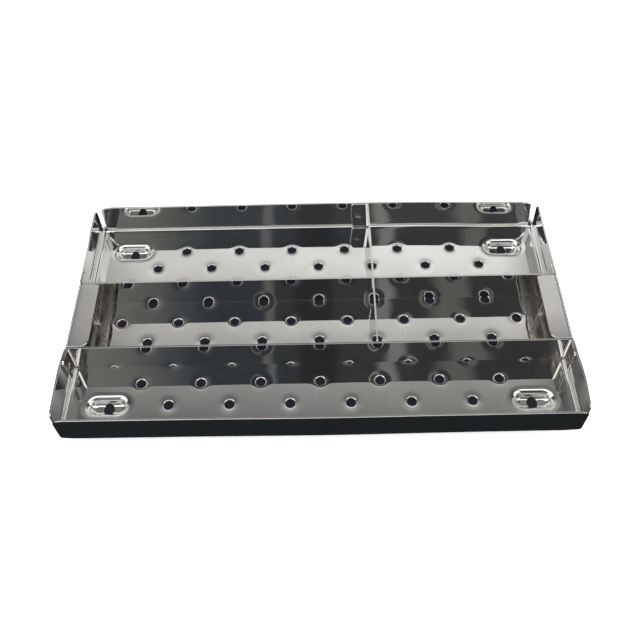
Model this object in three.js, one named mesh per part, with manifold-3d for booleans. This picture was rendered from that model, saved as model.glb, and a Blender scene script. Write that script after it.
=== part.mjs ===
// Perforated stainless instrument tray with welded dividers.
// Millimetres, +Z up, X along the long side, +Y towards the rear wall.
// The origin is the centre of the footprint, in the plane of the undersides of the feet.
import * as THREE from 'three';
import { mergeVertices, mergeGeometries } from 'three/addons/utils/BufferGeometryUtils.js';
import Module from 'manifold-3d';

// ---------------------------------------------------------------- driving dimensions
const SHEET = 1.0;             // sheet thickness of every piece
const HALF_X = 133.0;          // floor centre to the inner face of an end wall, at the floor
const HALF_Y = 72.5;           // floor centre to the inner face of a long wall, at the floor
const FLOOR_TOP = 5.0;         // upper face of the floor
const WALL_TOP = 24.5;         // top edge of the outer walls
const LEAN_X = 0.2;            // outward lean of the end walls at their top edge
const LEAN_Y = 0.4;            // outward lean of the long walls at their top edge
const BEND_IN = 1.5;           // inside bend radius, floor to wall
const CORNER_IN = 2.5;         // plan radius of the corners, inside face

const GAP_LOW = [132.8, 72.3]; // inner edges of a corner gap where it starts
const GAP_LOW_Z = 6.0;
const GAP_TOP = [129.5, 68.5]; // and at the wall top

const FLAP_REACH = 9.0;        // how far a hand-hold lip reaches in over the tray
const FLAP_CORNER = 3.0;       // rounding of its free corners
const FLAP_BEND = 1.0;         // inside bend radius, wall to lip

const PITCH_X = 32.0;          // hole pitch along a row
const PITCH_Y = 13.44;         // row spacing
const ROWS = 9;                // rows alternate between 8 and 7 places
const HOLE_R = 2.6;
const HOLE_SIDES = 12;

const FOOT_HALF = 5.5;         // half of the straight length of a pressed foot
const DIVIDER_TOP = 24.5;      // top edge of all the dividers, level with the walls
const REAR_PART_Y = 14.5;      // front face of the rear long partition
const FRONT_PART_Y = -29.4;    // front face of the front long partition
const TAB = 10.6;              // length of a divider's folded end tab
const TAB_BEND = 1.0;          // inside bend radius of a tab
const CROSS_X = 31.5;          // middle of the cross divider's sheet
const FIT = 0.3;               // gap between separate pieces
const LAP_Z = 14.8;            // height where the two crossing slots meet

const STEEL = { color: 0xc4c6c8, metalness: 1.0, roughness: 0.12 };

// ---------------------------------------------------------------- solids
const wasm = await Module();
wasm.setup();

function solid(geometry) {
  const g = geometry.clone();
  g.deleteAttribute('normal');
  g.deleteAttribute('uv');
  const m = mergeVertices(g, 1e-5);
  return new wasm.Manifold(new wasm.Mesh({
    numProp: 3,
    vertProperties: new Float32Array(m.attributes.position.array),
    triVerts: new Uint32Array(m.index.array),
  }));
}

function geometryOf(manifold) {
  const mesh = manifold.getMesh();
  const g = new THREE.BufferGeometry();
  const n = mesh.vertProperties.length / mesh.numProp;
  const p = new Float32Array(n * 3);
  for (let i = 0; i < n; i++) {
    for (let k = 0; k < 3; k++) p[3 * i + k] = mesh.vertProperties[i * mesh.numProp + k];
  }
  g.setAttribute('position', new THREE.BufferAttribute(p, 3));
  g.setIndex(new THREE.BufferAttribute(new Uint32Array(mesh.triVerts), 1));
  g.computeVertexNormals();
  return g;
}

function eachVertex(geometry, change) {
  const p = geometry.attributes.position;
  const v = new THREE.Vector3();
  for (let i = 0; i < p.count; i++) {
    v.fromBufferAttribute(p, i);
    change(v);
    p.setXYZ(i, v.x, v.y, v.z);
  }
  return geometry;
}

function box(x0, x1, y0, y1, z0, z1) {
  return new THREE.BoxGeometry(x1 - x0, y1 - y0, z1 - z0)
    .translate((x0 + x1) / 2, (y0 + y1) / 2, (z0 + z1) / 2);
}

function roundedRect(hx, hy, r) {
  const s = new THREE.Shape();
  s.moveTo(-hx + r, -hy);
  s.lineTo(hx - r, -hy);
  s.absarc(hx - r, -hy + r, r, -Math.PI / 2, 0, false);
  s.lineTo(hx, hy - r);
  s.absarc(hx - r, hy - r, r, 0, Math.PI / 2, false);
  s.lineTo(-hx + r, hy);
  s.absarc(-hx + r, hy - r, r, Math.PI / 2, Math.PI, false);
  s.lineTo(-hx, -hy + r);
  s.absarc(-hx + r, -hy + r, r, Math.PI, 1.5 * Math.PI, false);
  return s;
}

// A rounded box standing on z0 with a filleted bottom edge, whose sides lean out above the floor.
function leaningBox(hx, hy, corner, fillet, z0, z1) {
  const g = new THREE.ExtrudeGeometry(roundedRect(hx, hy, corner), {
    depth: z1 - z0, curveSegments: 4, steps: 1,
    bevelEnabled: true, bevelThickness: fillet, bevelSize: fillet, bevelOffset: -fillet, bevelSegments: 3,
  });
  g.translate(0, 0, z0 + fillet);
  return eachVertex(g, (v) => {
    const t = Math.max(0, v.z - FLOOR_TOP) / (WALL_TOP - FLOOR_TOP);
    v.x += Math.sign(v.x) * LEAN_X * t;
    v.y += Math.sign(v.y) * LEAN_Y * t;
  });
}

// ---------------------------------------------------------------- the pan
const outside = solid(leaningBox(HALF_X + SHEET, HALF_Y + SHEET, CORNER_IN + SHEET, BEND_IN + SHEET,
  FLOOR_TOP - SHEET, WALL_TOP + 3));
const inside = solid(leaningBox(HALF_X, HALF_Y, CORNER_IN, BEND_IN, FLOOR_TOP, WALL_TOP + 6));
let pan = outside.subtract(inside).subtract(solid(box(-200, 200, -120, 120, WALL_TOP, WALL_TOP + 20)));

// open corners: the walls were folded up singly, so a narrow V is left between their ends
for (const sx of [-1, 1]) {
  for (const sy of [-1, 1]) {
    const top = WALL_TOP + 2;
    const grow = (top - GAP_LOW_Z) / (WALL_TOP - GAP_LOW_Z);
    const g = box(0, 1, 0, 1, GAP_LOW_Z, top);
    eachVertex(g, (v) => {
      const t = (v.z - GAP_LOW_Z) / (top - GAP_LOW_Z) * grow;
      const lowX = GAP_LOW[0] + (GAP_TOP[0] - GAP_LOW[0]) * t;
      const lowY = GAP_LOW[1] + (GAP_TOP[1] - GAP_LOW[1]) * t;
      v.x = v.x < 0.5 ? lowX : HALF_X + 12;
      v.y = v.y < 0.5 ? lowY : HALF_Y + 12;
    });
    g.scale(sx, sy, 1);
    if (sx * sy < 0) {
      const ix = g.index.array;
      for (let i = 0; i < ix.length; i += 3) [ix[i], ix[i + 1]] = [ix[i + 1], ix[i]];
    }
    pan = pan.subtract(solid(g));
  }
}

// pressed feet: an oval well in the floor, rounded at its shoulder
function well(profile) {
  const points = profile.map(([r, z]) => new THREE.Vector2(r, z));
  const g = new THREE.LatheGeometry(points, 12, Math.PI / 12);
  g.rotateX(Math.PI / 2);
  return eachVertex(g, (v) => {
    if (Math.hypot(v.x, v.y) > 1e-3) v.x += Math.sign(v.x) * FOOT_HALF;
  });
}
const wellOutside = solid(well([[0, 0], [3.0, 0], [4.5, 1.1], [5.5, 2.9], [6.3, 4.0], [6.3, 4.6], [0, 4.6]]));
const wellInside = solid(well([[0, 1.0], [2.6, 1.0], [3.7, 1.8], [4.7, 3.6], [5.5, 4.6], [6.5, 5.0], [6.5, 5.8], [0, 5.8]]));
const footX = 3.5 * PITCH_X;
const footY = 4 * PITCH_Y;
for (const sx of [-1, 1]) {
  for (const sy of [-1, 1]) pan = pan.add(wellOutside.translate([sx * footX, sy * footY, 0]));
}
for (const sx of [-1, 1]) {
  for (const sy of [-1, 1]) pan = pan.subtract(wellInside.translate([sx * footX, sy * footY, 0]));
}

// perforations, in staggered rows, with one in the bottom of each foot
const drills = [];
for (let row = 0; row < ROWS; row++) {
  const places = row % 2 === 0 ? 8 : 7;
  for (let k = 0; k < places; k++) {
    const x = (k - (places - 1) / 2) * PITCH_X;
    const y = (4 - row) * PITCH_Y;
    const g = new THREE.CylinderGeometry(HOLE_R, HOLE_R, 8, HOLE_SIDES);
    g.rotateX(Math.PI / 2);
    g.rotateZ(Math.PI / HOLE_SIDES);
    drills.push(g.translate(x, y, 3));
  }
}
pan = pan.subtract(solid(mergeGeometries(drills)));

// hand-hold lips: the middle of each end wall runs on and is folded in over the tray
const flapFront = FRONT_PART_Y + SHEET + FIT;
const flapRear = REAR_PART_Y - FIT;
for (const sx of [-1, 1]) {
  const R = FLAP_BEND + SHEET;
  const wallOut = HALF_X + SHEET + LEAN_X - 0.08;
  const cx = wallOut - R;
  const cz = WALL_TOP - R;
  const s = new THREE.Shape();
  s.moveTo(cx + FLAP_BEND, cz - 1.2);
  s.lineTo(cx + R - 0.12, cz - 1.2);
  s.lineTo(cx + R, cz);
  s.absarc(cx, cz, R, 0, Math.PI / 2, false);
  s.lineTo(cx - 1.5, cz + R);
  s.lineTo(cx - 1.5, cz + FLAP_BEND);
  s.lineTo(cx, cz + FLAP_BEND);
  s.absarc(cx, cz, FLAP_BEND, Math.PI / 2, 0, true);
  const fold = new THREE.ExtrudeGeometry(s, { depth: flapRear - flapFront, curveSegments: 4, bevelEnabled: false });
  fold.rotateX(Math.PI / 2).translate(0, flapRear, 0);
  const lip = new THREE.Shape();
  const tip = HALF_X - FLAP_REACH;
  lip.moveTo(cx, flapFront);
  lip.lineTo(cx, flapRear);
  lip.lineTo(tip + FLAP_CORNER, flapRear);
  lip.absarc(tip + FLAP_CORNER, flapRear - FLAP_CORNER, FLAP_CORNER, Math.PI / 2, Math.PI, false);
  lip.lineTo(tip, flapFront + FLAP_CORNER);
  lip.absarc(tip + FLAP_CORNER, flapFront + FLAP_CORNER, FLAP_CORNER, Math.PI, 1.5 * Math.PI, false);
  const plate = new THREE.ExtrudeGeometry(lip, { depth: SHEET, curveSegments: 4, bevelEnabled: false });
  plate.translate(0, 0, WALL_TOP - SHEET);
  // the square top of the wall is cut away there, and the fold and the lip take its place
  let corner = solid(box(cx, wallOut + 5, flapFront, flapRear, cz, WALL_TOP + 1));
  let lipSolid = solid(fold).add(solid(plate));
  if (sx < 0) {
    corner = corner.mirror([1, 0, 0]);
    lipSolid = lipSolid.mirror([1, 0, 0]);
  }
  pan = pan.subtract(corner).add(lipSolid);
}

// ---------------------------------------------------------------- dividers
// Clears the bend between floor and wall at the foot of a divider's folded end.
function footRelief(x0, x1, y0, y1) {
  return solid(box(x0, x1, y0, y1, FLOOR_TOP - 1, FLOOR_TOP + BEND_IN + FIT));
}

// A long partition: a plate across the tray with both ends folded the same way (dir = +1 rearward).
function partition(frontFace, dir) {
  const xo = HALF_X - FIT;                 // outer face of the tabs
  const xi = xo - SHEET;
  const R = TAB_BEND + SHEET;
  const s = new THREE.Shape();
  // drawn with the plate's outer face on y = 0 and the tabs towards +y
  s.moveTo(-xo + R, 0);
  s.lineTo(xo - R, 0);
  s.absarc(xo - R, R, R, -Math.PI / 2, 0, false);
  s.lineTo(xo, TAB);
  s.lineTo(xi, TAB);
  s.lineTo(xi, R);
  s.absarc(xo - R, R, TAB_BEND, 0, -Math.PI / 2, true);
  s.lineTo(-xo + R, SHEET);
  s.absarc(-xo + R, R, TAB_BEND, -Math.PI / 2, -Math.PI, true);
  s.lineTo(-xi, TAB);
  s.lineTo(-xo, TAB);
  s.lineTo(-xo, R);
  s.absarc(-xo + R, R, R, Math.PI, 1.5 * Math.PI, false);
  const g = new THREE.ExtrudeGeometry(s, {
    depth: DIVIDER_TOP - FLOOR_TOP - FIT, curveSegments: 4, bevelEnabled: false,
  });
  g.translate(0, 0, FLOOR_TOP + FIT);
  let body = solid(g);
  for (const sx of [-1, 1]) {
    const a = sx * (HALF_X - BEND_IN - FIT);
    const b = sx * (HALF_X + 3);
    body = body.subtract(footRelief(Math.min(a, b), Math.max(a, b), -2, TAB + 2));
  }
  // the plate's outer face is the front face when the tabs run rearward, and the rear face otherwise
  if (dir < 0) body = body.mirror([0, 1, 0]).translate([0, frontFace + SHEET, 0]);
  else body = body.translate([0, frontFace, 0]);
  return body;
}

let rearPartition = partition(REAR_PART_Y, 1);
const frontPartition = partition(FRONT_PART_Y, -1);

// The cross divider: a plate from the rear wall to the front partition, its rear end folded left.
const yo = HALF_Y - FIT;
const yFront = FRONT_PART_Y + SHEET + FIT;
const xl = CROSS_X - SHEET / 2;
const xr = CROSS_X + SHEET / 2;
const RR = TAB_BEND + SHEET;
const c = new THREE.Shape();
c.moveTo(xl, yFront);
c.lineTo(xr, yFront);
c.lineTo(xr, yo - RR);
c.absarc(xr - RR, yo - RR, RR, 0, Math.PI / 2, false);
c.lineTo(xr - TAB, yo);
c.lineTo(xr - TAB, yo - SHEET);
c.lineTo(xr - RR, yo - SHEET);
c.absarc(xr - RR, yo - RR, TAB_BEND, Math.PI / 2, 0, true);
const crossGeometry = new THREE.ExtrudeGeometry(c, {
  depth: DIVIDER_TOP - FLOOR_TOP - FIT, curveSegments: 4, bevelEnabled: false,
});
crossGeometry.translate(0, 0, FLOOR_TOP + FIT);
let crossDivider = solid(crossGeometry);
crossDivider = crossDivider.subtract(footRelief(xr - TAB - 2, xr + 2, HALF_Y - BEND_IN - FIT, HALF_Y + 3));

// the half-lap: the partition is slotted from above, the cross divider from below
rearPartition = rearPartition.subtract(
  solid(box(xl - FIT, xr + FIT, REAR_PART_Y - 2, REAR_PART_Y + SHEET + 2, LAP_Z - FIT / 2, DIVIDER_TOP + 2)));
crossDivider = crossDivider.subtract(
  solid(box(xl - 2, xr + 2, REAR_PART_Y - FIT, REAR_PART_Y + SHEET + FIT, FLOOR_TOP - 1, LAP_Z + FIT / 2)));

// ---------------------------------------------------------------- the assembly
const tray = new THREE.Group();
function place(name, manifold) {
  const mesh = new THREE.Mesh(geometryOf(manifold), new THREE.MeshStandardMaterial(STEEL));
  mesh.name = name;
  tray.add(mesh);
}
place('tray_pan', pan);
place('rear_partition', rearPartition);
place('front_partition', frontPartition);
place('cross_divider', crossDivider);

export default tray;
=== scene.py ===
import math

import bmesh
import bpy
import numpy as np
from mathutils import Matrix, Vector, geometry


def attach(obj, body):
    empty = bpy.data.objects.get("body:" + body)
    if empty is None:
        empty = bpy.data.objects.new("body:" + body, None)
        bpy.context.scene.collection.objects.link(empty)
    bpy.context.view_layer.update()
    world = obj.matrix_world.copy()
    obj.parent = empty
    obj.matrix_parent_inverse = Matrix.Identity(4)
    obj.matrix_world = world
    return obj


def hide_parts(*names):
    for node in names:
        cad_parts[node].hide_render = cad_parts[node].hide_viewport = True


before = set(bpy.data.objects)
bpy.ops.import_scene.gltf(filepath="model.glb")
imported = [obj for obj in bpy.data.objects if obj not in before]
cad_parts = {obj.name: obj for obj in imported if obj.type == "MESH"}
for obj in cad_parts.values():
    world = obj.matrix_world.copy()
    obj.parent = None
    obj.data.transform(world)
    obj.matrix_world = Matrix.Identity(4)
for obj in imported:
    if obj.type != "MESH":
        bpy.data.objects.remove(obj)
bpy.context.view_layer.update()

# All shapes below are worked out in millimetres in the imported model's own frame, then scaled.
MM = 0.001

# ------------------------------------------------------------------ sizes (as in the CAD)
SHEET = 1.0
HALF_X, HALF_Y = 133.3, 72.5
FLOOR_TOP, WALL_TOP = 5.0, 24.5
CORNER_IN = 2.2
PITCH_X, PITCH_Y, ROWS = 32.0, 13.44, 9
HOLE_R = 2.6
FOOT_HALF = 5.5
REAR_Y = 14.7                    # front face of the rear long partition
FRONT_Y = -28.95                 # front face of the front long partition
SKEW_REAR, TILT_REAR = 0.8, -0.4     # how far they stand off square, and lean at the top
SKEW_FRONT, TILT_FRONT = 0.4, -0.9
DIVIDER_TOP = 24.5
TAB = 10.6
LIP_L = (FRONT_Y + SHEET - SKEW_FRONT + TILT_FRONT + 0.5, REAR_Y - SKEW_REAR + TILT_REAR - 0.5)
LIP_R = (FRONT_Y + SHEET + SKEW_FRONT + TILT_FRONT + 0.5, REAR_Y + SKEW_REAR + TILT_REAR - 0.5)
FLAP_TIP = 122.8
RIM = 0.3                        # rounding of the pan's cut edges
EDGE = 0.12                      # and of the dividers'


# ------------------------------------------------------------------ sheet building kit
def smooth(a, b, x):
    t = np.clip((x - a) / (b - a), 0.0, 1.0)
    return t * t * (3 - 2 * t)


def unit(v):
    return v / np.maximum(np.linalg.norm(v, axis=-1, keepdims=True), 1e-12)


def fillet(corners, seg=8):
    """A closed outline from (x, y, radius) corners, each rounded by an arc that is tangent to its two sides."""
    out = []
    n = len(corners)
    for i in range(n):
        p = np.array(corners[i][:2], float)
        r = corners[i][2]
        if r <= 0:
            out.append(tuple(p))
            continue
        a = np.array(corners[i - 1][:2], float) - p
        b = np.array(corners[(i + 1) % n][:2], float) - p
        a /= np.linalg.norm(a)
        b /= np.linalg.norm(b)
        half = math.acos(max(-1, min(1, a @ b))) / 2
        d = r / math.tan(half)
        mid = a + b
        c = p + mid / np.linalg.norm(mid) * (r / math.sin(half))
        p0, p1 = p + a * d - c, p + b * d - c
        w = math.acos(max(-1, min(1, (p0 @ p1) / (r * r))))
        for k in range(seg + 1):
            t = k / seg
            q = (math.sin((1 - t) * w) * p0 + math.sin(t * w) * p1) / math.sin(w)
            out.append(tuple(c + q))
    return out


def clip_line(outline, axis, level):
    """The stretches of the line x = level (axis 0) or y = level (axis 1) that lie inside the outline."""
    hits = []
    n = len(outline)
    for i in range(n):
        p, q = outline[i], outline[(i + 1) % n]
        a, b = p[axis], q[axis]
        if (a < level) != (b < level):
            t = (level - a) / (b - a)
            hits.append(p[1 - axis] + t * (q[1 - axis] - p[1 - axis]))
    hits.sort()
    return [(hits[i], hits[i + 1]) for i in range(0, len(hits) - 1, 2) if hits[i + 1] - hits[i] > 1e-3]


def triangulate(loops, inside, lines=(), points=()):
    """Triangles that fill closed loops, along given inner lines. Returns points (n, 2) and triples."""
    v, e = [], []
    for loop in loops:
        k = len(v)
        v += [Vector(p) for p in loop]
        e += [(k + i, k + (i + 1) % len(loop)) for i in range(len(loop))]
    for p, q in lines:
        k = len(v)
        v += [Vector(p), Vector(q)]
        e.append((k, k + 1))
    v += [Vector(p) for p in points]
    pts, _, faces, _, _, _ = geometry.delaunay_2d_cdt(v, e, [], 1, 1e-4, False)
    pts = np.array([tuple(p) for p in pts], float)
    out = []
    for f in faces:
        f = list(f)
        a, b, c = pts[f[0]], pts[f[1]], pts[f[2]]
        area = (b[0] - a[0]) * (c[1] - a[1]) - (b[1] - a[1]) * (c[0] - a[0])
        if abs(area) < 1e-9:
            continue
        if not inside((a + b + c) / 3):
            continue
        out.append(tuple(f) if area > 0 else tuple(reversed(f)))
    return pts, out


def in_loop(p, loop):
    x, y = p
    odd = False
    j = len(loop) - 1
    for i in range(len(loop)):
        xi, yi = loop[i]
        xj, yj = loop[j]
        if (yi > y) != (yj > y) and x < (xj - xi) * (y - yi) / (yj - yi) + xi:
            odd = not odd
        j = i
    return odd


class Skin:
    """Gathers vertices with their exact surface normals, and faces, of one closed piece."""

    def __init__(self):
        self.p, self.n, self.f, self.count = [], [], [], 0

    def add(self, p, n):
        start = self.count
        self.p.append(np.asarray(p, float))
        self.n.append(unit(np.asarray(n, float)))
        self.count += len(p)
        return start

    def rings(self, stack):
        """Quads between closed rings of equal count. The rings run anticlockwise seen from outside, outermost first."""
        starts = [self.add(p, n) for p, n in stack]
        m = len(stack[0][0])
        for a, b in zip(starts, starts[1:]):
            for i in range(m):
                j = (i + 1) % m
                self.f.append((a + i, a + j, b + j, b + i))

    def sheet(self, place, outline, s_levels, u_levels, seam=None, up=None, points=(), front=None, back=None,
              thick=SHEET, rim=RIM, steps=3):
        """A folded sheet. place(s, u) maps the flat pattern to the visible face; the back lies thick below it.
        Edges for which seam(s, u) is true at both ends are left open, to be joined to a neighbour."""
        lines = []
        for s in s_levels:
            lines += [((s, a), (s, b)) for a, b in clip_line(outline, 0, s)]
        for u in u_levels:
            lines += [((a, u), (b, u)) for a, b in clip_line(outline, 1, u)]
        uv, tris = triangulate([outline], lambda c: in_loop(c, outline), lines, points)
        used = sorted({i for t in tris for i in t})
        index = {k: i for i, k in enumerate(used)}
        uv = uv[used]
        tris = [tuple(index[k] for k in t) for t in tris]
        s, u = uv[:, 0], uv[:, 1]
        for levels, c in ((s_levels, s), (u_levels, u)):
            for level in levels:
                c[np.abs(c - level) < 2e-3] = level

        def face(extra):
            h = 1e-3
            branch = (s.copy(), u.copy())
            base = place(s, u, branch)
            ds = place(s + h, u, branch) - place(s - h, u, branch)
            du = place(s, u + h, branch) - place(s, u - h, branch)
            n = unit(np.cross(ds, du))
            if extra is None:
                return base, n, du, n
            h = 0.02

            def raised(a, b):
                q = place(a, b, branch)
                m = unit(np.cross(place(a + 1e-3, b, branch) - place(a - 1e-3, b, branch),
                                  place(a, b + 1e-3, branch) - place(a, b - 1e-3, branch)))
                return q + m * extra(a, b)[:, None]
            ds2 = raised(s + h, u) - raised(s - h, u)
            du2 = raised(s, u + h) - raised(s, u - h)
            return raised(s, u), n, du, unit(np.cross(ds2, du2))

        pf, n, du, nf = face(front)
        base = place(s, u, (s, u))
        if back is None:
            pb, nb = base - n * thick, -n
        else:
            pr, _, _, nr = face(back)
            pb, nb = pr - n * thick, -nr
        k0 = self.add(pf, nf)
        k1 = self.add(pb, nb)
        self.f += [tuple(k0 + i for i in t) for t in tris]
        self.f += [tuple(k1 + i for i in reversed(t)) for t in tris]

        have = {(t[i], t[(i + 1) % 3]) for t in tris for i in range(3)}
        edges = [(a, b) for a, b in have if (b, a) not in have]
        if seam is not None:
            edges = [(a, b) for a, b in edges if not seam(s[a], u[a], s[b], u[b])]
        if not edges:
            return uv
        out = {}
        for a, b in edges:
            t = unit(base[b] - base[a])
            for i in (a, b):
                out.setdefault(i, []).append(unit(np.cross(t, n[i])))
        ring_p = {}
        verts, norms = [], []
        angles = [math.pi / 2 * k / steps for k in range(1, steps + 1)]
        for i, os in out.items():
            o = unit(sum(os))
            if up is not None and up(s[i], u[i]):
                o = unit(du[i])
                miter = 1.0
            else:
                miter = 1 / max(0.6, float(o @ os[0]))
            ids = []
            for a in angles:
                ids.append(len(verts))
                verts.append(base[i] - rim * n[i] + rim * (n[i] * math.cos(a) + miter * o * math.sin(a)))
                norms.append(n[i] * math.cos(a) + o * math.sin(a))
            for a in reversed(angles):
                ids.append(len(verts))
                verts.append(base[i] - (thick - rim) * n[i] + rim * (-n[i] * math.cos(a) + miter * o * math.sin(a)))
                norms.append(-n[i] * math.cos(a) + o * math.sin(a))
            ring_p[i] = ids
        k2 = self.add(verts, norms)
        for a, b in edges:
            ra = [k0 + a] + [k2 + i for i in ring_p[a]] + [k1 + a]
            rb = [k0 + b] + [k2 + i for i in ring_p[b]] + [k1 + b]
            for i in range(len(ra) - 1):
                self.f.append((rb[i], ra[i], ra[i + 1], rb[i + 1]))
        return uv

    def build(self, name, material, move=None):
        p = np.concatenate(self.p)
        n = np.concatenate(self.n)
        me = bpy.data.meshes.new(name)
        me.from_pydata((p * MM).tolist(), [], self.f)
        at = me.attributes.new("sheet_normal", "FLOAT_VECTOR", "POINT")
        at.data.foreach_set("vector", n.astype(np.float32).ravel())
        bm = bmesh.new()
        bm.from_mesh(me)
        bmesh.ops.remove_doubles(bm, verts=bm.verts, dist=2e-6)
        bmesh.ops.dissolve_degenerate(bm, edges=bm.edges, dist=1e-7)
        loose = [e for e in bm.edges if len(e.link_faces) != 2]
        print(f"{name}: {len(bm.verts)} vertices, {len(bm.faces)} faces, {len(loose)} edges not shared by two faces")
        for e in loose[:6]:
            print("   ", [tuple(round(c / MM, 3) for c in v.co) for v in e.verts], len(e.link_faces))
        bm.to_mesh(me)
        bm.free()
        got = np.zeros(len(me.vertices) * 3, np.float32)
        me.attributes["sheet_normal"].data.foreach_get("vector", got)
        me.attributes.remove(me.attributes["sheet_normal"])
        me.polygons.foreach_set("use_smooth", [True] * len(me.polygons))
        me.normals_split_custom_set_from_vertices(unit(got.reshape(-1, 3).astype(float)).tolist())
        me.update()
        ob = bpy.data.objects.new(name, me)
        bpy.context.scene.collection.objects.link(ob)
        me.materials.append(material)
        return ob


# ------------------------------------------------------------------ node helpers
class Net:
    """Short notation for shader arithmetic in one node tree."""

    def __init__(self, tree):
        self.tree = tree

    def node(self, kind, **settings):
        nd = self.tree.nodes.new(kind)
        for k, v in settings.items():
            setattr(nd, k, v)
        return nd

    def link(self, a, b):
        self.tree.links.new(a, b)

    def put(self, socket, value):
        if isinstance(value, bpy.types.NodeSocket):
            self.tree.links.new(value, socket)
        else:
            socket.default_value = value

    def math(self, op, a, b=0.0, c=None, clamp=False):
        nd = self.node("ShaderNodeMath", operation=op, use_clamp=clamp)
        self.put(nd.inputs[0], a)
        self.put(nd.inputs[1], b)
        if c is not None:
            self.put(nd.inputs[2], c)
        return nd.outputs[0]

    def ramp(self, x, a, b, y0=0.0, y1=1.0, kind="SMOOTHSTEP"):
        nd = self.node("ShaderNodeMapRange", interpolation_type=kind, clamp=True)
        self.put(nd.inputs["Value"], x)
        nd.inputs["From Min"].default_value = a
        nd.inputs["From Max"].default_value = b
        self.put(nd.inputs["To Min"], y0)
        self.put(nd.inputs["To Max"], y1)
        return nd.outputs["Result"]

    def band(self, x, centre, half, soft):
        """1 within half of centre, falling to 0 over soft."""
        d = self.math("ABSOLUTE", self.math("SUBTRACT", x, centre))
        return self.ramp(d, half, half + soft, 1.0, 0.0)

    def noise(self, vector, scale, detail=2.0, rough=0.5, distortion=0.0, dims="3D"):
        nd = self.node("ShaderNodeTexNoise", noise_dimensions=dims)
        if vector is not None:
            self.link(vector, nd.inputs["Vector"])
        nd.inputs["Scale"].default_value = scale
        nd.inputs["Detail"].default_value = detail
        nd.inputs["Roughness"].default_value = rough
        nd.inputs["Distortion"].default_value = distortion
        return nd.outputs["Fac"]

    def mapping(self, vector, scale=(1, 1, 1), rotation=(0, 0, 0), location=(0, 0, 0)):
        nd = self.node("ShaderNodeMapping")
        self.link(vector, nd.inputs["Vector"])
        nd.inputs["Scale"].default_value = scale
        nd.inputs["Rotation"].default_value = rotation
        nd.inputs["Location"].default_value = location
        return nd.outputs["Vector"]

    def mix(self, fac, a, b):
        nd = self.node("ShaderNodeMix", data_type="RGBA")
        self.put(nd.inputs[0], fac)
        self.put(nd.inputs[6], a)
        self.put(nd.inputs[7], b)
        return nd.outputs[2]


def steel(name, tint, wave, seed):
    """Mirror-polished stainless steel with rolling waviness, hairline scratches, wipe marks and specks."""
    mat = bpy.data.materials.new(name)
    mat.use_nodes = True
    net = Net(mat.node_tree)
    bsdf = mat.node_tree.nodes["Principled BSDF"]
    bsdf.inputs["Metallic"].default_value = 1.0
    co = net.node("ShaderNodeTexCoord").outputs["Object"]
    base = net.mapping(co, location=(seed, seed * 0.7, seed * 0.3))
    # colour: a slightly uneven neutral grey, duller where wipe marks lie
    cloud = net.noise(base, 22.0, 3.0, 0.55)
    wipe = net.noise(net.mapping(base, scale=(1.0, 3.2, 1.0), rotation=(0, 0, 0.5)), 38.0, 4.0, 0.6, 0.6)
    dull = net.ramp(wipe, 0.56, 0.78)
    speck = net.ramp(net.noise(base, 900.0, 1.0, 0.5), 0.735, 0.78)
    clean = (tint[0], tint[1], tint[2], 1.0)
    worn = (tint[0] * 0.9, tint[1] * 0.9, tint[2] * 0.89, 1.0)
    colour = net.mix(net.ramp(cloud, 0.35, 0.7), clean, worn)
    colour = net.mix(net.math("MULTIPLY", speck, 0.45), colour, (0.30, 0.29, 0.28, 1.0))
    # under the lips and in the end bends, where a polishing wheel hardly reaches, the surface is duller; under the lips
    # a warmer, slightly darker colour is painted shade
    sep = net.node("ShaderNodeSeparateXYZ")
    net.link(co, sep.inputs[0])
    end = net.math("ABSOLUTE", sep.outputs[0])
    dull_and_shade_nook = net.math("MULTIPLY", net.ramp(end, 0.1165, 0.1215), net.ramp(sep.outputs[2], 0.0222, 0.0230, 1.0, 0.0))
    dull_and_shade_nook = net.math("MULTIPLY", dull_and_shade_nook, net.math("MULTIPLY", net.ramp(sep.outputs[1], -0.033, -0.029),
                                               net.ramp(sep.outputs[1], 0.014, 0.018, 1.0, 0.0)))
    bend = net.math("MULTIPLY", net.ramp(end, 0.1288, 0.1302), net.ramp(sep.outputs[2], 0.0078, 0.0092, 1.0, 0.0))
    # painted shade: a warmer, slightly darker colour under the lips
    colour = net.mix(net.math("MULTIPLY", dull_and_shade_nook, 0.6), colour, (0.74, 0.705, 0.675, 1.0))
    net.link(colour, bsdf.inputs["Base Color"])
    # hairlines in two directions
    hair_a = net.noise(net.mapping(base, scale=(6.0, 900.0, 6.0), rotation=(0, 0, 0.10)), 1.0, 2.0, 0.6)
    hair_b = net.noise(net.mapping(base, scale=(1100.0, 9.0, 9.0), rotation=(0, 0, -0.35)), 1.0, 2.0, 0.6)
    hair = net.math("MAXIMUM", net.ramp(hair_a, 0.66, 0.8), net.ramp(hair_b, 0.70, 0.84))
    rough = net.ramp(cloud, 0.3, 0.75, 0.018, 0.036)
    rough = net.math("MULTIPLY_ADD", dull, 0.025, rough)
    rough = net.math("MULTIPLY_ADD", hair, 0.035, rough)
    rough = net.math("MULTIPLY_ADD", dull_and_shade_nook, 0.08, rough)
    rough = net.math("MULTIPLY_ADD", bend, 0.07, rough)
    net.link(rough, bsdf.inputs["Roughness"])
    # geometry of the polish: long waves of the sheet, a faint orange peel and the hairlines
    long_wave = net.noise(net.mapping(base, scale=(0.8, 1.3, 1.3)), 26.0, 1.0, 0.4)
    peel = net.noise(base, 190.0, 1.0, 0.5)
    height = net.math("MULTIPLY", long_wave, wave)
    height = net.math("MULTIPLY_ADD", peel, 0.003, height)
    height = net.math("MULTIPLY_ADD", hair, 0.0003, height)
    bump = net.node("ShaderNodeBump")
    bump.inputs["Strength"].default_value = 1.0
    bump.inputs["Distance"].default_value = 0.001
    net.link(height, bump.inputs["Height"])
    net.link(bump.outputs["Normal"], bsdf.inputs["Normal"])
    return mat


pan_steel = steel("pan_steel_finish", (0.74, 0.74, 0.735), 0.12, 0.0)
divider_steel = steel("divider_steel_finish", (0.73, 0.73, 0.725), 0.14, 3.7)


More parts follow.
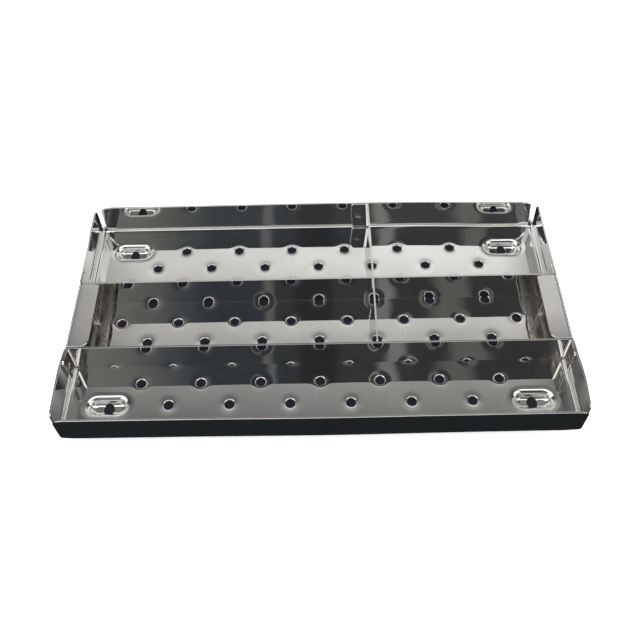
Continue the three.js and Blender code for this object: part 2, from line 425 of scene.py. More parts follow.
# ------------------------------------------------------------------ the pan
def end_lean(y, side):
    """Outward lean at the top edge of an end wall: the middle is held by the lip, the two end stretches spread."""
    if side < 0:
        mid, rear = -0.45, -0.8 + 0.55 * smooth(38.0, 54.0, y)
        front = 0.75 * smooth(29.0, 45.0, -y) - 0.5 * smooth(46.0, 66.0, -y)
    else:
        mid, rear, front = -0.75, -1.2, -0.5 + 0.85 * smooth(34.0, 50.0, -y) - 0.7 * smooth(54.0, 68.0, -y)
    lean = np.full_like(y, mid)
    y0, y1 = LIP_L if side < 0 else LIP_R
    lean = lean + (rear - mid) * smooth(y1 - 1.5, y1 + 6.0, y)
    lean = lean + (front - mid) * smooth(-(y0 + 1.5), -(y0 - 6.0), -y)
    return lean


def long_lean(x, side):
    """Outward lean at the top edge of a long wall."""
    if side > 0:
        return 0.3 - 0.25 * smooth(-20.0, 110.0, -x)
    return 0.6 + 0.1 * smooth(45.0, 75.0, x)


def long_bow(x, side):
    """How far a long wall stands out of line, at its foot as at its top: thin sheet, a little wavy."""
    if side > 0:
        return -0.4 + 0.65 * smooth(-130.0, 10.0, x) - 1.5 * smooth(55.0, 120.0, x)
    return -0.1 - 0.38 * (1 - np.exp(-(x / 45.0) ** 2)) - 0.3 * smooth(20.0, 130.0, x)


def spread(x, y, z):
    """Shift of a point of the walls, which all lean out a little above the floor."""
    t = np.clip(z - FLOOR_TOP, 0, None) / (WALL_TOP - FLOOR_TOP)
    lean = np.where(x < 0, end_lean(y, -1), end_lean(y, 1))
    # towards a corner the end wall's lean settles to the corner's own
    dx = np.sign(x) * lean * t * smooth(100.0, 127.0, np.abs(x))
    lean = np.where(y > 0, long_lean(x, 1), long_lean(x, -1)) * t
    bow = np.where(y > 0, long_bow(x, 1), long_bow(x, -1))
    dy = np.sign(y) * (lean + bow) * smooth(40.0, 67.0, np.abs(y))
    return dx, dy


# The bend between floor and wall. Along a long wall the floor first rises a little, then turns tightly;
# along an end wall the bend is one wide arc of the same developed length. They meet halfway at a corner.
RISE, RISE_LEN, TIGHT = math.radians(8.0), 2.5, 1.2
ARC = RISE_LEN + TIGHT * (math.pi / 2 - RISE)     # developed length of the bend
WIDE = ARC / (math.pi / 2)
bend_u = np.linspace(0, ARC, 8001)
bend_phi = np.where(bend_u < RISE_LEN, RISE * (bend_u / RISE_LEN) ** 2, RISE + (bend_u - RISE_LEN) / TIGHT)


def running(f):
    return np.concatenate([[0.0], np.cumsum((f[1:] + f[:-1]) / 2 * np.diff(bend_u))])


tight_run, tight_rise = running(np.cos(bend_phi)), running(np.sin(bend_phi))
wide_run, wide_rise = WIDE * np.sin(bend_u / WIDE), WIDE * (1 - np.cos(bend_u / WIDE))
S45 = CORNER_IN * math.pi / 4                     # developed length of half a corner
VERTICAL = FLOOR_TOP + WIDE                       # where an end wall starts to stand straight
FOLD_Z = WALL_TOP - 2.0                           # where a lip's fold starts
U_FOLD = ARC + FOLD_Z - VERTICAL
FOLD = math.pi / 2 * 1.0
DROOP = (0.03, 0.065)                             # slope of the left and of the right lip, down towards the tip
U_APEX = 2.25                                     # the corner is open from here up
BLEND = 8.0


def wall_rise(wide):
    return WIDE if wide else float(tight_rise[-1])


def top_of(wide):
    return ARC + WALL_TOP - FLOOR_TOP - wall_rise(wide) - RIM


def turned(d, q=1.1):
    """How far the end of a long wall stands in, at distance d past the crease: a small joggle, then a slight slant."""
    d = np.maximum(d, 0)
    return 0.42 * smooth(0.0, q, d) + 0.12 * np.where(d < q, d * d / (2 * q), d - q / 2)


def crease(u, half_len, wide):
    """Where the turned end of a long wall starts, slanting in from the corner towards the top."""
    t = (u - U_APEX) / (top_of(wide) - U_APEX)
    return half_len + S45 - 0.2 - (S45 + 6.3) * t


def wall_place(direction, outward, half_len, depth, wide, turn, lip=None):
    """Maps the flat pattern of one wall to space: s along the wall, u from the floor outline upwards."""
    d = np.array(direction, float)
    o = np.array(outward, float)
    w0 = 1.0 if wide else 0.0

    def place(s, u, branch):
        bs = branch[0]
        a = np.abs(s)
        over = np.maximum(a - half_len, 0) / CORNER_IN
        sg = np.sign(s)
        wt = w0 + (0.5 - w0) * smooth(half_len - BLEND, half_len + S45, a)
        run = wt * np.interp(u, bend_u, wide_run) + (1 - wt) * np.interp(u, bend_u, tight_run)
        full = wt * wide_run[-1] + (1 - wt) * tight_run[-1]
        rise = wt * np.interp(u, bend_u, wide_rise) + (1 - wt) * np.interp(u, bend_u, tight_rise)
        top_rise = wt * WIDE + (1 - wt) * float(tight_rise[-1])
        inset = full - run - np.minimum(u, 0)
        grow = (WALL_TOP - FLOOR_TOP - top_rise) / (WALL_TOP - FLOOR_TOP - wall_rise(wide)) - 1
        z = FLOOR_TOP + rise + np.maximum(u - ARC, 0) + grow * np.maximum(u - ARC - 0.5, 0)
        # the corner's radius shrinks towards the floor
        rc = CORNER_IN - (CORNER_IN - 0.5) * inset / full
        shift = CORNER_IN - inset - rc
        if turn:
            inset_turn = turn * turned(a - crease(u, half_len, wide))
        else:
            inset_turn = 0.0
        along = np.minimum(a, half_len) + shift * smooth(half_len - BLEND, half_len, a) + rc * np.sin(over)
        out = depth - inset - rc * (1 - np.cos(over)) - inset_turn
        if lip is not None:
            on = (bs > lip[0] - 0.6) & (bs < lip[1] + 0.6) & (u > U_FOLD - 1e-9)
            w = np.clip(u - U_FOLD, 0, FOLD)
            reach = np.maximum(u - U_FOLD - FOLD, 0)
            out = np.where(on, depth - (1 - np.cos(w)) - reach, out)
            z = np.where(on, FOLD_Z + np.sin(w) - DROOP[o[0] > 0] * reach, z)
        along = along * sg
        x = along * d[0] + out * o[0]
        y = along * d[1] + out * o[1]
        dx, dy = spread(x + 0.0, y, np.minimum(z, WALL_TOP))
        if lip is not None:
            # a lip keeps the lean of the fold that it hangs on
            lean = end_lean(y, o[0])
            t = (np.minimum(z, WALL_TOP) - FLOOR_TOP) / (WALL_TOP - FLOOR_TOP)
            dx = np.where(on, np.sign(o[0]) * lean * t, dx)
        return np.stack([x + dx, y + dy, z], -1)
    return place


def levels(a, b, step):
    n = max(1, round((b - a) / step))
    return [a + (b - a) * k / n for k in range(n + 1)]


def wall(skin, direction, outward, half_len, depth, wide, ends, corner_r, turn=0.0, lip=None, tip_r=(3.0, 3.0)):
    """ends: for low s and for high s, how far the end stands back from the corner's middle at its foot, and how far
    its top falls short of the straight part's length; corner_r: the radius of the top corners there."""
    s_end = half_len + S45
    u_top = top_of(wide)
    arc_levels = [half_len - k for k in (8, 7, 6, 5, 4, 3, 2, 1)] + [half_len + S45 * k / 5 for k in range(0, 6)]
    s_levels = levels(-half_len + 8, half_len - 8, 5.0)[1:-1] + arc_levels + [-a for a in arc_levels]
    u_levels = [0.0, 0.5, 1.0, 1.5, 2.0] + [RISE_LEN + (ARC - RISE_LEN) * k / 8 for k in range(0, 9)]
    u_levels += [ARC + 0.8, 7.0, 10.0, 13.5, 17.0]
    (near0, far0), (near1, far1) = ends
    right = [(s_end, 0, 0), (s_end, U_APEX, 0), (s_end - near1, U_APEX, min(0.45, near1 * 0.6)),
             (half_len - far1, u_top, corner_r[1])]
    left = [(-half_len + far0, u_top, corner_r[0]), (-s_end + near0, U_APEX, min(0.45, near0 * 0.6)),
            (-s_end, U_APEX, 0), (-s_end, 0, 0)]
    middle = []
    points = []
    if turn:
        for k in range(0, 17):
            u = 3.0 + k * (u_top - 3.6) / 16
            for q in (0.0, 0.22, 0.44, 0.66, 0.88, 1.1, 1.6):
                a = float(crease(np.array(u), half_len, wide)) + q
                points += [(a, u), (-a, u)]
    if lip is not None:
        g, un, tip = 1.2, U_FOLD - 1.4, U_FOLD + FOLD + (HALF_X - 1.0 - FLAP_TIP) - RIM
        middle = [(lip[1] + g, u_top, 0.8), (lip[1] + g, un, 0.5), (lip[1], un, 0.5), (lip[1], tip, tip_r[1]),
                  (lip[0], tip, tip_r[0]), (lip[0], un, 0.5), (lip[0] - g, un, 0.5), (lip[0] - g, u_top, 0.8)]
        u_levels += [U_FOLD + FOLD * k / 9 for k in range(0, 10)] + [U_FOLD + FOLD + 2.0, U_FOLD + FOLD + 4.5]
    outline = fillet(right + middle + left, 8)

    def seam(s0, u0, s1, u1):
        if u0 < 1e-4 and u1 < 1e-4:
            return True
        return abs(abs(s0) - s_end) < 1e-3 and abs(abs(s1) - s_end) < 1e-3 and max(u0, u1) < U_APEX + 1e-3

    def up(s, u):
        return abs(abs(s) - s_end) < 1e-3 and abs(u - U_APEX) < 1e-3

    place = wall_place(direction, outward, half_len, depth, wide, turn, lip)
    points = [p for p in points if in_loop(p, outline)]
    uv = skin.sheet(place, outline, s_levels, u_levels, seam, up, points)
    foot = sorted({round(float(a), 4) for a, b in uv if b < 1e-4})
    foot = np.array(foot)
    p = place(foot, np.zeros_like(foot), (foot, np.zeros_like(foot)))
    return [tuple(q[:2]) for q in p]


pan = Skin()
outline = []
outline += wall(pan, (1, 0), (0, 1), HALF_X - CORNER_IN, HALF_Y, False, ((2.1, 0.5), (2.1, 1.4)), (2.2, 2.2), 1.0)
outline += wall(pan, (0, -1), (1, 0), HALF_Y - CORNER_IN, HALF_X, True, ((0.35, -0.7), (1.1, 0.6)), (3.5, 1.8), 0.0,
                (-LIP_R[1], -LIP_R[0]), (1.3, 4.0))[1:]
outline += wall(pan, (-1, 0), (0, -1), HALF_X - CORNER_IN, HALF_Y, False, ((0.3, -1.2), (0.3, -1.2)), (3.6, 5.0), 0.0)[1:]
outline += wall(pan, (0, 1), (-1, 0), HALF_Y - CORNER_IN, HALF_X, True, ((1.1, 0.6), (0.35, -0.7)), (1.8, 3.5), 0.0, LIP_L,
                (4.0, 1.3))[1:-1]
outline = outline[::-1]


# the holes: a shallow dish, a rolled rim, a short bore and a small break on the underside
def dish(r, start, end, slope, length):
    w = 1 - smooth(start + 1.5, end, r)
    return -slope * length * np.exp(-(r - start) / length) * w


def dish_profile(radii, start, end, slope, length, z0):
    """(r, z, nr, nz) of the dished floor at the given radii."""
    h = 1e-4
    rows = []
    for r in radii:
        z = dish(np.array(r), start, end, slope, length)
        g = (dish(np.array(r + h), start, end, slope, length) - dish(np.array(r - h), start, end, slope, length)) / (2 * h)
        k = math.hypot(1, g)
        rows.append((r, z0 + float(z), -float(g) / k, 1 / k))
    return rows


def offset(rows, t):
    return [(r - nr * t, z - nz * t, -nr, -nz) for r, z, nr, nz in rows]


HOLE_OUT = 8.0
WELL_OUT = 8.8
SIDES = 40


def bore_rows(start_r, z_start, tilt, z_under):
    """Rolled rim from start_r down into the bore, and the bore's lower edge."""
    big = (start_r - HOLE_R) / (1 - math.sin(tilt))
    cx, cz = HOLE_R + big, z_start - big * math.cos(tilt)
    rows = []
    for k in range(1, 9):
        a = tilt + (math.pi / 2 - tilt) * k / 8
        rows.append((cx - big * math.sin(a), cz + big * math.cos(a), -math.sin(a), math.cos(a)))
    rb = 0.1
    for k in range(0, 4):
        a = math.pi / 2 * k / 3
        rows.append((HOLE_R + rb - rb * math.cos(a), z_under + rb - rb * math.sin(a), -math.cos(a), -math.sin(a)))
    return rows


hole_radii = [8.0, 7.2, 6.5, 5.9, 5.4, 5.0, 4.6, 4.25, 3.95, 3.7, 3.48, 3.28, 3.1]
hole_top = dish_profile(hole_radii, 3.1, HOLE_OUT, 0.10, 1.2, FLOOR_TOP)
hole_bottom = [(r, z - SHEET, -nr, -nz) for r, z, nr, nz in hole_top]
tilt0 = math.atan2(-hole_top[-1][2], hole_top[-1][3])
hole_rows = hole_top + bore_rows(3.1, hole_top[-1][1], tilt0, hole_bottom[-1][1]) + hole_bottom[::-1]

turn = [2 * math.pi * k / SIDES for k in range(SIDES)]
ring_xy = np.array([(math.cos(a), math.sin(a)) for a in turn])


def circle_stack(cx, cy, rows):
    stack = []
    for r, z, nr, nz in rows:
        p = np.column_stack([cx + r * ring_xy[:, 0], cy + r * ring_xy[:, 1], np.full(SIDES, z)])
        n = np.column_stack([nr * ring_xy[:, 0], nr * ring_xy[:, 1], np.full(SIDES, nz)])
        stack.append((p, n))
    return stack


# the feet: troughs with rounded ends and straight sides of 2 x FOOT_HALF
well_turn = []
for k in range(21):
    well_turn.append((FOOT_HALF, -math.pi / 2 + math.pi * k / 20))
for k in range(1, 8):
    well_turn.append((FOOT_HALF - 2 * FOOT_HALF * k / 8, math.pi / 2))
for k in range(21):
    well_turn.append((-FOOT_HALF, math.pi / 2 + math.pi * k / 20))
for k in range(1, 8):
    well_turn.append((-FOOT_HALF + 2 * FOOT_HALF * k / 8, 3 * math.pi / 2))
well_c = np.array([c for c, _ in well_turn])
well_d = np.array([(math.cos(a), math.sin(a)) for _, a in well_turn])

WELL_FLOOR = 1.0
TROUGH_F, TROUGH_R, TROUGH_W = 1.5, 2.4, 6.5      # half its flat bottom, the radius beside it, half its width
DISH = (TROUGH_W, WELL_OUT, 0.10, 1.1)
g0 = float((dish(np.array(TROUGH_W + 1e-4), *DISH) - dish(np.array(TROUGH_W), *DISH)) / 1e-4)
t0 = math.atan(g0)
z_shoulder = FLOOR_TOP + float(dish(np.array(TROUGH_W), *DISH))


def shoulder_radius(th):
    return (TROUGH_W - TROUGH_F - TROUGH_R * math.sin(th)) / (math.sin(th) - math.sin(t0))


def trough_depth(th):
    return shoulder_radius(th) * (math.cos(t0) - math.cos(th)) + TROUGH_R * (1 - math.cos(th))


th_a, th_b = math.radians(40), math.radians(85)
for _ in range(60):
    th = (th_a + th_b) / 2
    if trough_depth(th) < z_shoulder - WELL_FLOOR:
        th_a = th
    else:
        th_b = th
SHOULDER_R = shoulder_radius(th)
print("trough: steepest", round(math.degrees(th), 1), "shoulder radius", round(SHOULDER_R, 2))


def trough(q):
    """Height of the pressed floor at distance q from a foot's spine."""
    q = np.asarray(q, float)
    low = WELL_FLOOR + TROUGH_R - np.sqrt(np.maximum(TROUGH_R ** 2 - np.maximum(q - TROUGH_F, 0) ** 2, 1e-9))
    cx = TROUGH_W + SHOULDER_R * math.sin(t0)
    cz = z_shoulder - SHOULDER_R * math.cos(t0)
    mid = cz + np.sqrt(np.maximum(SHOULDER_R ** 2 - (cx - q) ** 2, 1e-9))
    high = FLOOR_TOP + dish(q, *DISH)
    return np.where(q < TROUGH_F + TROUGH_R * math.sin(th), low, np.where(q < TROUGH_W, mid, high))


def trough_point(xy):
    """Position and normal of the pressed floor at xy, measured from the foot's middle."""
    sx = np.clip(xy[:, 0], -FOOT_HALF, FOOT_HALF)
    v = xy - np.column_stack([sx, np.zeros(len(xy))])
    q = np.linalg.norm(v, axis=1)
    slope = (trough(q + 1e-4) - trough(np.maximum(q - 1e-4, 0))) / (q + 1e-4 - np.maximum(q - 1e-4, 0))
    v = v / np.maximum(q, 1e-9)[:, None]
    return np.column_stack([xy, trough(q)]), unit(np.column_stack([-v * slope[:, None], np.ones(len(xy))]))


WELL_HOLE, WELL_RIM = (3.1, 3.5), 0.25


def well_stack(cx, cy):
    centre = np.array([cx, cy, 0.0])
    low_edge = TROUGH_F + TROUGH_R * math.sin(th)
    radii = [8.8, 8.4, 8.0, 7.6, 7.2, 6.9, 6.6, TROUGH_W]
    radii += [TROUGH_W + (low_edge - TROUGH_W) * k / 10 for k in range(1, 11)]
    rows = [np.column_stack([well_c + r * well_d[:, 0], r * well_d[:, 1]]) for r in radii]
    bearing = np.arctan2(rows[-1][:, 1], rows[-1][:, 0])
    hole = np.column_stack([WELL_HOLE[0] * np.cos(bearing), WELL_HOLE[1] * np.sin(bearing)])
    rows += [rows[-1] + (hole - rows[-1]) * k / 8 for k in range(1, 9)]
    front = [trough_point(r) for r in rows]
    stack = [(p + centre, n) for p, n in front]
    base, n = front[-1]
    radial = -np.column_stack([np.cos(bearing), np.sin(bearing), np.zeros(len(bearing))])
    inward = unit(radial - (radial * n).sum(1)[:, None] * n)
    for k in range(1, 6):
        a = math.pi / 2 * k / 5
        stack.append((base + centre - WELL_RIM * n + WELL_RIM * (n * math.cos(a) + inward * math.sin(a)),
                      n * math.cos(a) + inward * math.sin(a)))
    for k in range(5, 0, -1):
        a = math.pi / 2 * k / 5
        stack.append((base + centre - (SHEET - WELL_RIM) * n + WELL_RIM * (-n * math.cos(a) + inward * math.sin(a)),
                      -n * math.cos(a) + inward * math.sin(a)))
    stack += [(p - n * SHEET + centre, -n) for p, n in front[::-1]]
    return stack


loops = []
wells = []
for row in range(ROWS):
    places = 8 if row % 2 == 0 else 7
    for k in range(places):
        x = (k - (places - 1) / 2) * PITCH_X
        y = (4 - row) * PITCH_Y
        if row in (0, 8) and k in (0, 7):
            pan.rings(well_stack(x, y))
            loops.append([(x + c + WELL_OUT * d[0], y + WELL_OUT * d[1]) for c, d in zip(well_c, well_d)])
        else:
            pan.rings(circle_stack(x, y, hole_rows))
            loops.append([(x + HOLE_OUT * c, y + HOLE_OUT * s) for c, s in ring_xy])


def on_floor(p):
    return in_loop(p, outline) and not any(abs(p[0] - l[0][0]) < 30 and in_loop(p, l) for l in loops)


xy, tris = triangulate([outline] + loops, on_floor)
flat = np.column_stack([xy, np.full(len(xy), FLOOR_TOP)])
k0 = pan.add(flat, np.tile((0.0, 0.0, 1.0), (len(xy), 1)))
k1 = pan.add(flat - (0, 0, SHEET), np.tile((0.0, 0.0, -1.0), (len(xy), 1)))
pan.f += [tuple(k0 + i for i in t) for t in tris]
pan.f += [tuple(k1 + i for i in reversed(t)) for t in tris]
pan_ob = pan.build("pan_shell", pan_steel)
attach(pan_ob, "root")
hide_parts("tray_pan")


# ------------------------------------------------------------------ the dividers
def weld(centres, depth=0.09, radius=1.7):
    """A spot weld: a shallow ring-shaped mark."""
    def extra(s, u):
        h = np.zeros_like(s)
        for cs, cu in centres:
            r = np.hypot(s - cs, u - cu) / radius
            h = h + depth * (np.exp(-((r - 0.75) / 0.22) ** 2) * 0.6 + 0.7 * np.exp(-(r / 0.6) ** 2))
        return h
    return extra


def rings_at(centres, radius=1.7):
    pts = []
    for cs, cu in centres:
        for q in (0.0, 0.3, 0.5, 0.65, 0.8, 0.95, 1.15, 1.4, 1.7):
            m = 1 if q == 0 else 20
            pts += [(cs + q * radius * math.cos(2 * math.pi * k / m), cu + q * radius * math.sin(2 * math.pi * k / m))
                    for k in range(m)]
    return pts


DIV_Z0 = FLOOR_TOP - 0.08
TURN_R = 2.0                                      # outer radius of a tab's bend
TURN = TURN_R * math.pi / 2
XO = HALF_X - 0.12                                # outer face of a partition's tab
PLATE = XO - TURN_R


def partition_place(front, sign, skew, tilt):
    """sign +1: tabs run rearward and the outer face looks forward; -1: the other way round."""
    def place(s, u, branch):
        a = np.abs(s)
        sg = np.sign(s)
        w = np.clip(a - PLATE, 0, TURN) / TURN_R
        run = np.maximum(a - PLATE - TURN, 0)
        x = sg * (np.minimum(a, PLATE) + TURN_R * np.sin(w))
        back = TURN_R * (1 - np.cos(w)) + run
        x = x * sign                              # the outer face is always to the right of the way s runs
        y = front + sign * back
        z = u
        t = (z - FLOOR_TOP) / (WALL_TOP - FLOOR_TOP)
        edge = smooth(118.0, 129.0, np.abs(x))
        lean = np.where(x < 0, end_lean(y, -1), end_lean(y, 1))
        y = y + skew * x / HALF_X + tilt * t
        # the bend between floor and end wall would push the foot of the tab in a little; foot is kept at zero, so no
        # push is applied
        foot = 0.0
        return np.stack([x + np.sign(x) * (lean * t * edge - foot), y, z], -1)
    return place


def partition(name, front, sign, skew, tilt, slot=None):
    skin = Skin()
    end = PLATE + TURN + TAB - TURN_R
    top = DIVIDER_TOP - EDGE
    z0 = DIV_Z0 + EDGE
    relief = VERTICAL - 0.5
    rs = PLATE - 0.2                              # the foot is cut clear of the bend from here outwards
    right = [(rs, z0, 0.3), (rs, relief, 0.5), (end - EDGE, relief, 1.0), (end - EDGE, top, 2.0)]
    left = [(-a, b, r) for a, b, r in reversed(right)]
    body = list(right)
    if slot is not None:
        for a, b, r in slot:
            body.append((a, b, r))
    outline = fillet(body + left, 6)
    turns = [PLATE + TURN * k / 9 for k in range(10)]
    s_levels = levels(-PLATE, PLATE, 8.0) + turns[1:] + [-a for a in turns[1:]] + [PLATE + TURN + 3, -(PLATE + TURN + 3)]
    u_levels = [8.0, 12.0, 16.0, 20.0]
    marks = []
    tab_mid = PLATE + TURN + (TAB - TURN_R) / 2 + 0.4
    for sg in (-1, 1):
        marks += [(sg * tab_mid, 10.6), (sg * tab_mid, 17.4)]
    skin.sheet(partition_place(front, sign, skew, tilt), outline, s_levels, u_levels,
               points=rings_at(marks), back=weld(marks), rim=EDGE)
    ob = skin.build(name, divider_steel)
    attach(ob, "root")
    return ob


CROSS_LOW, CROSS_HIGH = 32.0, 30.8                # the cross divider's right face, at its foot and at its top
LAP_Z = 14.8


def cross_x(z):
    return CROSS_LOW + (CROSS_HIGH - CROSS_LOW) * (z - FLOOR_TOP) / (DIVIDER_TOP - FLOOR_TOP)


cut = EDGE + 0.1
slot_rear = [(cross_x(DIVIDER_TOP) + cut, DIVIDER_TOP - EDGE, 0.3), (cross_x(LAP_Z) + cut, LAP_Z - 0.2, 0.2),
             (cross_x(LAP_Z) - SHEET - cut, LAP_Z - 0.2, 0.2), (cross_x(DIVIDER_TOP) - SHEET - cut, DIVIDER_TOP - EDGE, 0.3)]
rear = partition("rear_long_partition", REAR_Y, 1, SKEW_REAR, TILT_REAR, slot_rear)
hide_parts("rear_partition")
front_part = partition("front_long_partition", FRONT_Y + SHEET, -1, SKEW_FRONT, TILT_FRONT)
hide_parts("front_partition")


def cross_place(y_end):
    def place(s, u, branch):
        plate = y_end - TURN_R
        w = np.clip(s - plate, 0, TURN) / TURN_R
        run = np.maximum(s - plate - TURN, 0)
        y = np.minimum(s, plate) + TURN_R * np.sin(w)
        back = TURN_R * (1 - np.cos(w)) + run
        x = cross_x(u) - back
        t = (u - FLOOR_TOP) / (WALL_TOP - FLOOR_TOP)
        y = y + (long_lean(x, 1) * t + long_bow(x, 1)) * smooth(60.0, 70.0, y) + TILT_FRONT * t * smooth(0.0, 28.0, -y)
        x = x + 0.12 * np.sin((s + 28) / 100 * math.pi) * smooth(6, 20, u)
        return np.stack([x, y, u], -1)
    return place


cross = Skin()
y_end = HALF_Y - 0.12
c_end = y_end - TURN_R + TURN + TAB - TURN_R - EDGE
c_start = FRONT_Y + SHEET + 0.14 + EDGE
c_top = DIVIDER_TOP - EDGE
c_foot = DIV_Z0 + EDGE
relief = FLOOR_TOP + float(tight_rise[-1]) + 0.2
ys = y_end - TURN_R + 0.6
lap0, lap1 = REAR_Y + 0.1 - 0.15 - EDGE, REAR_Y + 0.1 + SHEET + 0.15 + EDGE
outline_c = fillet([
    (c_start, c_foot, 0.3), (lap0, c_foot, 0.3), (lap0, LAP_Z + 0.2, 0.2), (lap1, LAP_Z + 0.2, 0.2), (lap1, c_foot, 0.3),
    (ys, c_foot, 0.3), (ys, relief, 0.5), (c_end, relief, 1.0), (c_end, c_top, 2.0), (c_start, c_top, 1.2)], 6)
c_turns = [y_end - TURN_R + TURN * k / 9 for k in range(10)]
c_marks = [(y_end - TURN_R + TURN + (TAB - TURN_R) / 2, 15.2)]
cross.sheet(cross_place(y_end), outline_c, levels(c_start + 2, y_end - TURN_R - 2, 6.0) + c_turns + [c_turns[-1] + 3],
            [8.0, 12.0, 16.0, 20.0], points=rings_at(c_marks), back=weld(c_marks, 0.12), rim=EDGE)
cross_ob = cross.build("cross_plate", divider_steel)
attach(cross_ob, "root")
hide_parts("cross_divider")


# ------------------------------------------------------------------ floor and surroundings
scene = bpy.context.scene
scene.view_settings.view_transform = "Standard"
scene.cycles.max_bounces = 16
scene.cycles.glossy_bounces = 16
scene.cycles.diffuse_bounces = 3


def grid_plane(name, half, z, material, cuts=8):
    me = bpy.data.meshes.new(name)
    bm = bmesh.new()
    bmesh.ops.create_grid(bm, x_segments=cuts, y_segments=cuts, size=half)
    bm.to_mesh(me)
    bm.free()
    ob = bpy.data.objects.new(name, me)
    ob.location = (0, 0, z)
    scene.collection.objects.link(ob)
    me.materials.append(material)
    return ob


paper = bpy.data.materials.new("pale_floor")
paper.use_nodes = True
pb = paper.node_tree.nodes["Principled BSDF"]
pb.inputs["Base Color"].default_value = (0.86, 0.86, 0.86, 1)
pb.inputs["Roughness"].default_value = 0.9
pb.inputs["Specular IOR Level"].default_value = 0.0
pb.inputs["Emission Color"].default_value = (1, 1, 1, 1)
pb.inputs["Emission Strength"].default_value = 0.3
floor = grid_plane("studio_floor", 6.0, -0.0004, paper)
floor.visible_glossy = False

# a dark sheet under the tray, with a soft edge: painted shadow, seen through the holes and the corner gaps where shade
# falls
shadow_paint = bpy.data.materials.new("painted_shadow_under_tray")
shadow_paint.use_nodes = True
net = Net(shadow_paint.node_tree)
fb = shadow_paint.node_tree.nodes["Principled BSDF"]
sep = net.node("ShaderNodeSeparateXYZ")
net.link(net.node("ShaderNodeTexCoord").outputs["Object"], sep.inputs[0])
U, V, _ = sep.outputs
wide = net.ramp(V, -0.068, 0.0, 0.001, 0.0045)
edge = net.math("MULTIPLY", net.ramp(net.math("SUBTRACT", net.math("ABSOLUTE", U), wide), 0.129, 0.134, 1.0, 0.0),
                net.math("MULTIPLY", net.ramp(V, 0.077, 0.086, 1.0, 0.0), net.ramp(V, -0.069, -0.062)))
net.link(edge, fb.inputs["Alpha"])
fb.inputs["Base Color"].default_value = (0.004, 0.004, 0.004, 1)
fb.inputs["Roughness"].default_value = 1.0
fb.inputs["Specular IOR Level"].default_value = 0.0
# painted light: a faint violet glow gives the dim tone seen in the holes
fb.inputs["Emission Color"].default_value = (0.017, 0.016, 0.024, 1)
fb.inputs["Emission Strength"].default_value = 1.0
shadow_sheet = grid_plane("painted_shadow_sheet", 0.16, -0.0002, shadow_paint, 16)

world = bpy.data.worlds.new("studio")
scene.world = world
world.use_nodes = True
world.node_tree.nodes["Background"].inputs["Color"].default_value = (1, 1, 1, 1)
world.node_tree.nodes["Background"].inputs["Strength"].default_value = 2.2

# The studio's soft cards, as one shell that only reflections see.
room = bpy.data.materials.new("studio_cards")
room.use_nodes = True
room.cycles.emission_sampling = "NONE"
tree = room.node_tree
tree.nodes.clear()
net = Net(tree)
out = net.node("ShaderNodeOutputMaterial")
em = net.node("ShaderNodeEmission")
net.link(em.outputs[0], out.inputs["Surface"])
sep = net.node("ShaderNodeSeparateXYZ")
net.link(net.node("ShaderNodeTexCoord").outputs["Object"], sep.inputs[0])
X, Y, Z = sep.outputs
zc = net.math("MAXIMUM", Z, 0.04)
A = net.math("DIVIDE", X, zc)                     # across, as on a ceiling one unit up
B = net.math("DIVIDE", Y, zc)                     # rearward

absA = net.math("ABSOLUTE", A)
# rear half: light wall beyond the tray, brightest low down and in the middle
rear_light = net.ramp(B, 0.50, 0.64, 0.20, 0.40)
rear_light = net.math("ADD", rear_light, net.ramp(B, 0.64, 0.74, 0.0, 0.28))
rear_light = net.math("ADD", rear_light, net.ramp(B, 0.76, 0.90, 0.0, 0.30))
rear_light = net.math("SUBTRACT", rear_light, net.ramp(B, 0.90, 1.15, 0.0, 0.62))
side = net.math("ADD", net.ramp(A, -0.44, -0.30, 0.5, 0.86), net.ramp(A, -0.30, 0.20, 0.0, 0.2))
side = net.math("SUBTRACT", side, net.ramp(A, 0.34, 0.42, 0.0, 0.42))
side = net.math("SUBTRACT", side, net.ramp(absA, 0.45, 0.8, 0.0, 0.22))
side = net.math("SUBTRACT", side, net.ramp(A, 0.45, 0.8, 0.0, 0.12))
rear_light = net.math("MULTIPLY", rear_light, side)
rear_light = net.math("ADD", rear_light, net.math("MULTIPLY", net.ramp(absA, 0.5, 0.9),
                                                  net.ramp(B, 1.3, 2.1, 0.0, 1.2)))
# overhead soft lamp, long from left to right
r_lamp = net.math("SQRT", net.math("ADD", net.math("POWER", net.math("DIVIDE", net.math("ADD", A, 0.1), 0.55), 2.0),
                                   net.math("POWER", net.math("DIVIDE", net.math("ADD", B, 0.03), 0.30), 2.0)))
lamp = net.ramp(r_lamp, 0.75, 1.3, 1.7, 0.0)
# front half: dark in the middle, with soft strips running front to back, light low down and at both sides
dark = net.ramp(A, -0.38, -0.17, 0.24, 0.065)
dark = net.math("SUBTRACT", dark, net.math("MULTIPLY", net.band(A, 0.0, 0.022, 0.02), 0.022))
dark = net.math("ADD", dark, net.ramp(net.math("MULTIPLY", B, -1.0), 0.80, 0.95, 0.0, 0.022))
strip = net.math("MULTIPLY", net.band(A, 0.128, 0.006, 0.018), 0.22)
strip2 = net.math("MULTIPLY", net.band(A, -0.080, 0.003, 0.012), 0.12)
patch = net.math("MULTIPLY", net.band(A, 0.25, 0.015, 0.035), 0.13)
front_dark = net.math("ADD", net.math("ADD", dark, strip), net.math("ADD", strip2, patch))
front_dark = net.math("ADD", front_dark, net.ramp(net.math("MULTIPLY", B, -1.0), 1.1, 2.2, 0.0, 1.2))
front_dark = net.math("ADD", front_dark, net.math("MULTIPLY", net.ramp(absA, 0.45, 0.62, 0.0, 1.6),
                                                  net.ramp(net.math("ABSOLUTE", B), 0.90, 1.10, 1.0, 0.3)))
is_rear = net.ramp(B, -0.10, 0.30)
up_mix = net.math("ADD", net.math("MULTIPLY", rear_light, is_rear),
                  net.math("MULTIPLY", front_dark, net.math("SUBTRACT", 1.0, is_rear)))
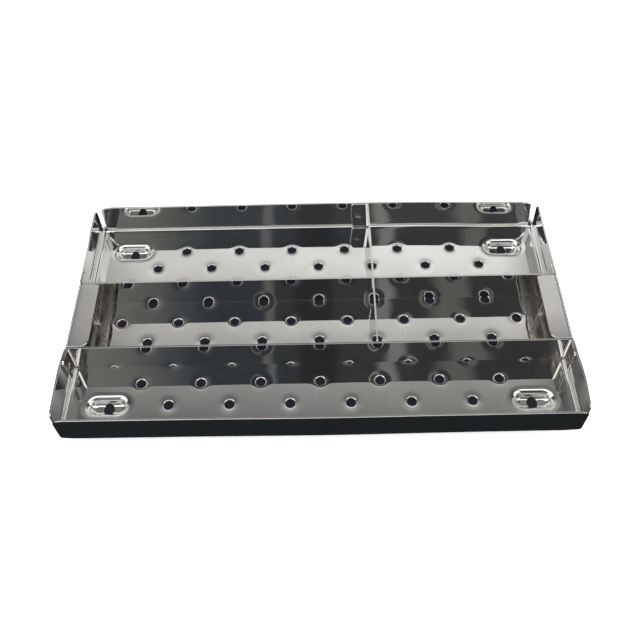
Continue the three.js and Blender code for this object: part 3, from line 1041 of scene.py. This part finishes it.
up_mix = net.math("ADD", up_mix, lamp)
above = net.ramp(Z, -0.02, 0.03)
total = net.math("ADD", net.math("MULTIPLY", up_mix, above), net.math("MULTIPLY", 0.022, net.math("SUBTRACT", 1.0, above)))
net.link(total, em.inputs["Strength"])
# light parts are a little warm, dark ones cool
cool = net.mix(above, (0.86, 1.0, 1.08, 1.0), net.mix(net.ramp(A, -0.15, 0.2), (0.87, 0.99, 1.10, 1.0), (0.99, 0.97, 1.03, 1.0)))
net.link(net.mix(net.ramp(total, 0.08, 0.2), cool, (1.0, 0.985, 0.955, 1.0)), em.inputs["Color"])

shell_me = bpy.data.meshes.new("studio_shell")
bm = bmesh.new()
bmesh.ops.create_icosphere(bm, subdivisions=5, radius=1.0)
bm.to_mesh(shell_me)
bm.free()
shell = bpy.data.objects.new("studio_shell", shell_me)
shell.scale = (4, 4, 4)
scene.collection.objects.link(shell)
shell_me.materials.append(room)
shell.visible_camera = False
shell.visible_diffuse = False
shell.visible_shadow = False
shell.visible_transmission = False

# ------------------------------------------------------------------ camera
P = 32.0
F_PX, EL, AZ, ROLL = 768.8754, 53.5068, -0.1684, -0.767
TX, TY, DIST = -0.0110, -0.0251, 13.6582
e, a, ro = math.radians(EL), math.radians(AZ), math.radians(ROLL)
back = Vector((math.sin(a) * math.cos(e), -math.cos(a) * math.cos(e), math.sin(e)))
xa = Vector((0, 0, 1)).cross(back).normalized()
ya = back.cross(xa)
x2 = xa * math.cos(ro) + ya * math.sin(ro)
y2 = -xa * math.sin(ro) + ya * math.cos(ro)
rot = Matrix((x2, y2, back))                      # world to camera
pos = rot.transposed() @ Vector((-TX, -TY, DIST)) * P * MM + Vector((0, 0, FLOOR_TOP - SHEET)) * MM
cam_data = bpy.data.cameras.new("view")
cam_data.sensor_width = 36.0
cam_data.lens = F_PX / 640 * 36.0
cam = bpy.data.objects.new("view", cam_data)
cam.matrix_world = Matrix.Translation(pos) @ rot.transposed().to_4x4()
scene.collection.objects.link(cam)
scene.camera = cam
